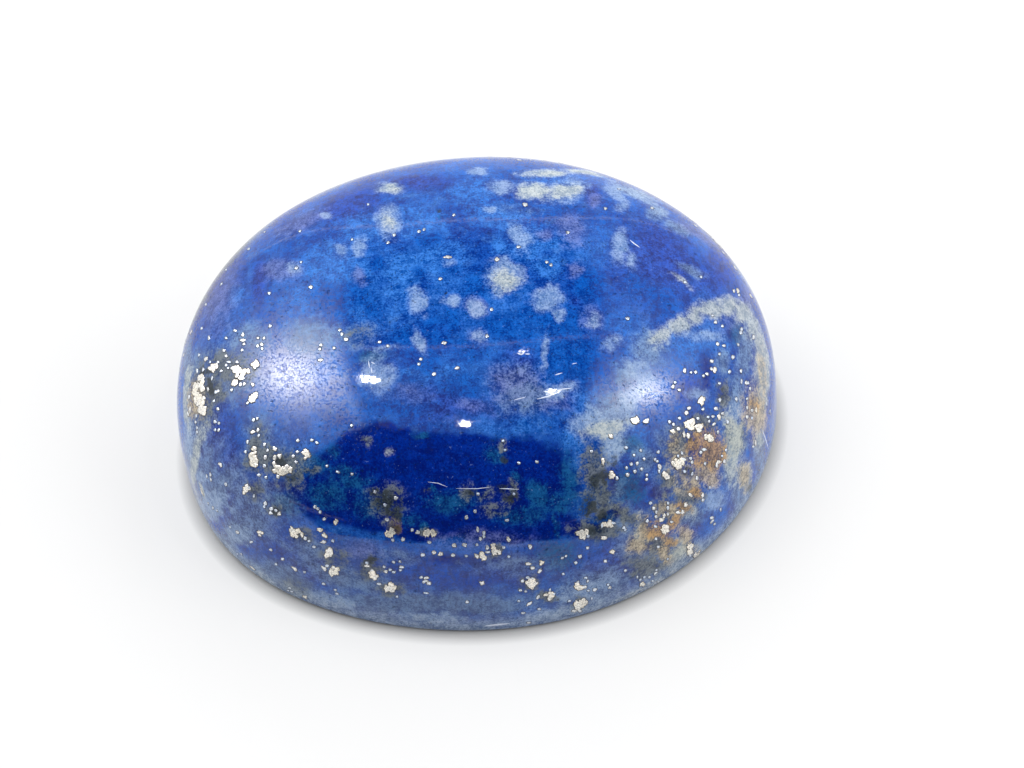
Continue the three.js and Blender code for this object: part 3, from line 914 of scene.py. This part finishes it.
def lapis_material():
    """The blue rock under its markings, polished but for its softest freckles."""
    material, maker = new_material("polished_lapis")
    place = maker.object_place()

    def brushed(share_across, share_deep, shift):
        """Noise that is drawn out along the view's width or its depth."""
        axes = (studio(share_across, 0, 0), studio(0, share_deep, 0), (0, 0, share_deep))
        parts = {number: maker.dot(place, axis) for number, axis in enumerate(axes)}
        drawn = maker.node("ShaderNodeCombineXYZ", parts)
        return maker.noise(drawn, 0.13 * MM, detail=4, roughness=0.6, shift=shift)

    frayed = maker.noise(place, 0.8 * MM, detail=9, roughness=0.7, shift=(0.1, 0.2, 0.3))
    worn = maker.noise(place, 0.7 * MM, detail=9, roughness=0.72, shift=(0.7, 0.3, 0.5))
    mottle = maker.noise(place, 0.42 * MM, detail=8, roughness=0.74, shift=(0.5, 0.1, 0.7))
    broad = maker.noise(place, 2.4 * MM, detail=8, roughness=0.62, shift=(0.9, 0.4, 0.2))
    pepper = maker.noise(place, 0.1 * MM, detail=2, shift=(0.3, 0.6, 0.1))
    strokes = (
        brushed(STROKE_SHARE, 1, (0.2, 0.1, 0.4)) + brushed(1, STROKE_SHARE, (0.8, 0.5, 0.1))
    ) * 0.5
    grainy = maker.noise(place, 0.08 * MM, detail=2, roughness=0.6, shift=(0.6, 0.8, 0.9))
    freckle = (mottle * 0.5 + strokes * 0.2 + grainy * 0.3).within(0.41, 0.59)

    def speckled(dark, light):
        return maker.mix(freckle, dark, light)

    colour = maker.mix(broad.within(0.38, 0.62), speckled(*BRIGHT_BLUE), speckled(*INKY_BLUE))
    colour = maker.mix(worn.within(0.5, 0.7) * 0.45, colour, speckled(*HAZE))
    # A marking covers the stone where its field is over about a half, and noise frays it.
    for number, (name, cover, ragged, fine, soft, dark, light) in enumerate(LAYERS):
        field = maker.field(name)
        coarse = frayed if number % 2 else worn
        edge = (coarse * (1 - fine) + mottle * fine + grainy * 0.2 - 0.6) * ragged
        share = field + edge * field.within(0, MOST_RAGGED)
        share = share.within(0.51 - soft, 0.51 + soft)
        colour = maker.mix(share * cover, colour, speckled(dark, light))
    # The lower edge is less polished and pale.
    height = maker.node("ShaderNodeSeparateXYZ", {0: place}, output=2)
    foot = (height + (worn - 0.5) * MM).within(FOOT_TOP, FOOT_BOTTOM)
    colour = maker.mix(foot * 0.8, colour, speckled(*FOOT))
    pits = pepper.within(0.6, 0.72)
    # The pits are darkened with painted shade in their hollows.
    colour = maker.mix(pits * 0.7, colour, PIT_PAINTED_SHADE)
    colour = maker.mix(pepper.within(0.34, 0.24) * 0.2, colour, SPARK_COLOUR)
    ripples = maker.noise(place, 0.22 * MM, detail=3, shift=(0.4, 0.9, 0.6))
    relief = {"Height": ripples - pits * PIT_SHARE, "Strength": 1.0, "Distance": WAVE_HEIGHT}
    polished = maker.node(
        "ShaderNodeBsdfPrincipled",
        {
            "Base Color": colour,
            "Roughness": foot * 0.14 + mottle.within(0.54, 0.7) * 0.2 + 0.04,
            "IOR": REFRACTION,
            "Normal": maker.node("ShaderNodeBump", relief),
        },
    )
    matt = maker.node(
        "ShaderNodeBsdfPrincipled",
        {
            "Base Color": colour,
            "Roughness": MATT_ROUGHNESS,
            "IOR": REFRACTION,
            "Specular IOR Level": 0.0,
        },
    )
    unpolished = (grainy * 0.65 + mottle * 0.35).within(0.44, 0.6).most(pits)
    # At a grazing angle the whole surface shines.
    facing = maker.node("ShaderNodeLayerWeight", {"Blend": 0.5}, output=1)
    shares = {0: unpolished * (0.92 - facing**4), 1: polished, 2: matt}
    maker.finish(maker.node("ShaderNodeMixShader", shares))
    return material


# --------------------------------------------------------- floor, light, camera


FLOOR_RADIUS = 1.5
FLOOR_WHITE = 0.37
FLOOR_PAINTED_GLOW = 0.49  # painted glow, as of white glass lit a little from below, that lifts the floor's shadows
CONTACT_REACH = 0.68 * MM  # how near the stone must be for the painted contact shadow to dim that glow


def lay_floor():
    """A round white floor with a painted glow, which a painted contact shadow darkens right under the
    stone's edge.
    """
    shape = bmesh.new()
    bmesh.ops.create_circle(shape, cap_ends=True, radius=FLOOR_RADIUS, segments=64)
    material, maker = new_material("white_floor")
    open_above = maker.node("ShaderNodeAmbientOcclusion", {"Distance": CONTACT_REACH}, output="AO")
    surface = maker.node(
        "ShaderNodeBsdfPrincipled",
        {
            "Base Color": (FLOOR_WHITE, FLOOR_WHITE, FLOOR_WHITE, 1),
            "Roughness": 0.7,
            "Specular IOR Level": 0.0,
            # The painted glow fades near the stone: a painted contact shadow.
            "Emission Color": maker.mix(open_above**2, (0, 0, 0), (1, 1, 1)),
            "Emission Strength": FLOOR_PAINTED_GLOW,
        },
    )
    maker.finish(surface)
    material.cycles.emission_sampling = "NONE"
    floor = new_object("floor", shape, material)


def studio(right, front, up):
    """A direction in the studio: to the view's right, towards the camera, and up."""
    return Matrix.Rotation(-VIEW_TURN, 3, "Z") @ Vector((right, -front, up))


def towards(azimuth, elevation):
    """A studio direction in degrees: azimuth 0 is the camera's side and 90 its right."""
    turn, rise = math.radians(azimuth), math.radians(elevation)
    return studio(math.cos(rise) * math.sin(turn), math.cos(rise) * math.cos(turn), math.sin(rise))


# The stone lies in a white light tent with an open front. Each wall is bounded by
# planes through the stone, given by normals that point into the wall and by how soft
# that edge is.
LEFT_WALL = ((-0.941, 0.0, -0.338, 0.05), (-0.618, -0.786, 0.009, 0.014))
RIGHT_WALL = ((0.863, -0.144, -0.485, 0.05), (0.742, -0.56, -0.369, 0.02))
TOP_PANEL = (
    (0.955, 0.0, 0.297, 0.02),
    (-0.964, 0.0, 0.267, 0.02),
    (0.036, 0.931, 0.364, 0.02),
    (0.148, -0.929, 0.339, 0.012),
)
LEFT_GLOW = 0.25
RIGHT_GLOW = 0.45
TOP_GLOW = 0.235
TOP_SLANT = 0.66  # how much the top panel brightens towards the left
ROOM_GLOW = 0.02
HORIZON_FADE = 0.2  # the back wall and the top panel fade in over this share of a direction
# The back wall is an arch with a bright seam: up to ARCH_TOP less ARCH_BEND times the
# square of the way across, where up and across are shares of a direction.
BACK_GLOW = 0.5
ARCH_TOP = 0.6
ARCH_BEND = 2.3
ARCH_FADE = 0.13
SEAM_WIDTH = 0.018  # of the seams along the arch and along the top panel's back edge
SEAM_RISE = (0.7, 0.9)  # the second seam fades in between these shares of up
SEAM_GLOW = 1.1
# Lamps that shine through the side walls: azimuth, elevation, brightness, then how
# wide and how tall they are and how fast they fade.
LEFT_LAMP = (-107, 51.5, 18.5, 15, 18, 2)
RIGHT_LAMP = (88, 41, 14.0, 6.5, 10, 1.5)
LAMP_FADE = 0.3  # their glow ends a quarter turn away, over this share of a direction
SOFT_SHARE = 0.07  # how much of those two lamps reaches dull surfaces
SOFT_GAIN = 4.2  # how much more of the whole they get
MIRROR_GAIN = 1.5  # how much more of it the polish gets
# The dark floor of the open front: to the right and to the front, in millimetres.
DARK_FRONT = (
    (-720, 1450), (-60, 60), (-28, 30), (-21, 25.8), (-18, 24.5), (-16, 25.5), (-15, 31),
    (-12.5, 38), (-7, 43), (0, 44), (6, 42), (11.5, 34), (13, 25), (13.4, 21), (15, 20.5),
    (18, 22), (24, 27), (60, 60), (720, 1450),
)
CLOTH_HEIGHT = 0.2  # millimetres
# Small lamps above: azimuth, elevation and radius.
LAMPS = ((-113.7, 73.5, 0.016), (5.4, 74.6, 0.012), (150, 70, 0.005), (87.7, 70.3, 0.012))
LAMP_DISTANCE = 0.6
LAMP_TALLNESS = 1.5  # how much taller than wide a lamp is
LAMP_POWER = 900  # watts for each square metre of a lamp's radius squared
BACKDROP = 0.96  # how bright the background is in the view


def light_world():
    """The tent: what each direction sends to the polish, to dull surfaces and to the view."""
    world = bpy.data.worlds.new("light_tent")
    bpy.context.scene.world = world
    world.use_nodes = True
    maker = Maker(world.node_tree)
    place = maker.node("ShaderNodeTexCoord", output="Generated")
    direction = maker.node("ShaderNodeVectorMath", {0: place}, operation="NORMALIZE")
    seen = maker.node("ShaderNodeLightPath", output="Is Camera Ray")
    mirrored = maker.node("ShaderNodeLightPath", output="Is Glossy Ray")

    def along(axis):
        return maker.dot(direction, axis)

    def wall(planes):
        inside = 1.0
        for right, front, up, softness in planes:
            inside = along(studio(right, front, up)).within(-softness, softness) * inside
        return inside

    def lamp_behind(azimuth, elevation, brightness, width, tallness, focus):
        across = along(towards(azimuth + 90, 0)) / math.radians(width)
        rise = along(towards(azimuth, elevation + 90)) / math.radians(tallness)
        glow = brightness / (1 + across * across + rise * rise) ** focus
        glow = glow * along(towards(azimuth, elevation)).within(0, LAMP_FADE)
        return glow * (mirrored * (1 - SOFT_SHARE) + SOFT_SHARE)

    def seam_at(edge):
        return abs(edge).within(SEAM_WIDTH, 0)

    height = along((0, 0, 1))
    arch = along(studio(1, 0, 0)) ** 2 * ARCH_BEND + height - ARCH_TOP
    behind = along(studio(0, -1, 0)).within(0, HORIZON_FADE)
    panel_edge = along(studio(*TOP_PANEL[2][:3]))
    seam = (seam_at(arch) * behind).most(seam_at(panel_edge) * height.within(*SEAM_RISE))
    above = TOP_GLOW - along(studio(1, 0, 0)) * TOP_SLANT
    glow = arch.within(ARCH_FADE, 0) * behind * BACK_GLOW
    glow = glow.most(wall(LEFT_WALL) * (LEFT_GLOW + lamp_behind(*LEFT_LAMP)))
    glow = glow.most(wall(RIGHT_WALL) * (RIGHT_GLOW + lamp_behind(*RIGHT_LAMP)))
    glow = glow.most(wall(TOP_PANEL) * height.within(0, HORIZON_FADE) * above)
    glow = glow + seam * SEAM_GLOW + ROOM_GLOW
    glow = glow * (SOFT_GAIN - mirrored * (SOFT_GAIN - MIRROR_GAIN))
    strength = glow * (1 - seen) + seen * BACKDROP
    background = maker.node("ShaderNodeBackground", {"Color": (1, 1, 1, 1), "Strength": strength})
    maker.finish(background, "ShaderNodeOutputWorld")


def darken_front():
    """The dark table in front of the tent, which shows only in the polish."""
    shape = bmesh.new()
    corners = [shape.verts.new(studio(*corner, CLOTH_HEIGHT) * MM) for corner in DARK_FRONT]
    shape.faces.new(corners)
    material, maker = new_material("black_cloth")
    maker.finish(maker.node("ShaderNodeBsdfDiffuse", {"Color": (0, 0, 0, 1)}))
    cloth = new_object("dark_front", shape, material)
    for ray in ("camera", "diffuse", "transmission", "shadow", "volume_scatter"):
        setattr(cloth, f"visible_{ray}", False)


def hang_lamps():
    """Tall lamps that the polish shows as small bright spots."""
    for number, (azimuth, elevation, radius) in enumerate(LAMPS):
        light = bpy.data.lights.new(f"lamp_{number}", "AREA")
        light.shape = "ELLIPSE"
        light.size = 2 * radius
        light.size_y = 2 * radius * LAMP_TALLNESS
        light.energy = LAMP_POWER * radius**2 * LAMP_TALLNESS
        lamp = bpy.data.objects.new(f"lamp_{number}", light)
        away = towards(azimuth, elevation)
        lamp.location = away * LAMP_DISTANCE
        lamp.rotation_euler = away.to_track_quat("Z", "Y").to_euler()
        bpy.context.scene.collection.objects.link(lamp)


def place_camera():
    """The camera looks down at the stone, which shows around its own pixel."""
    right = studio(1, 0, 0)
    forward = studio(0, -math.cos(VIEW_ELEVATION), -math.sin(VIEW_ELEVATION))
    up = right.cross(forward)
    middle = Vector((0, 0, HEIGHT / 2))
    data = bpy.data.cameras.new("camera")
    data.sensor_width = 36
    data.lens = data.sensor_width * PIXELS_PER_METRE * VIEW_DISTANCE / VIEW_WIDTH
    data.clip_start = 0.005
    data.clip_end = 10
    camera = bpy.data.objects.new("camera", data)
    camera.location = middle - forward * VIEW_DISTANCE
    across = (VIEW_WIDTH / 2 - STONE_PIXEL[0]) / PIXELS_PER_METRE
    down = (VIEW_HEIGHT / 2 - STONE_PIXEL[1]) / PIXELS_PER_METRE
    aim = middle + right * across - up * down
    camera.rotation_euler = (camera.location - aim).to_track_quat("Z", "Y").to_euler()
    bpy.context.scene.collection.objects.link(camera)
    bpy.context.scene.camera = camera
    return camera


camera = place_camera()
light_world()
hang_lamps()
lay_floor()
darken_front()
blank = turn_stone()
sight = Sight(blank, camera)
stone = new_piece("lapis_surface", blank, lapis_material())
mark_stone(stone, sight)
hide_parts("lapis_stone")
new_piece("pyrite_grains", grow_grains(sight), pyrite_material())
new_piece("polish_scratches", scratch_stone(sight), scratch_material())

bpy.context.scene.view_settings.view_transform = "Standard"
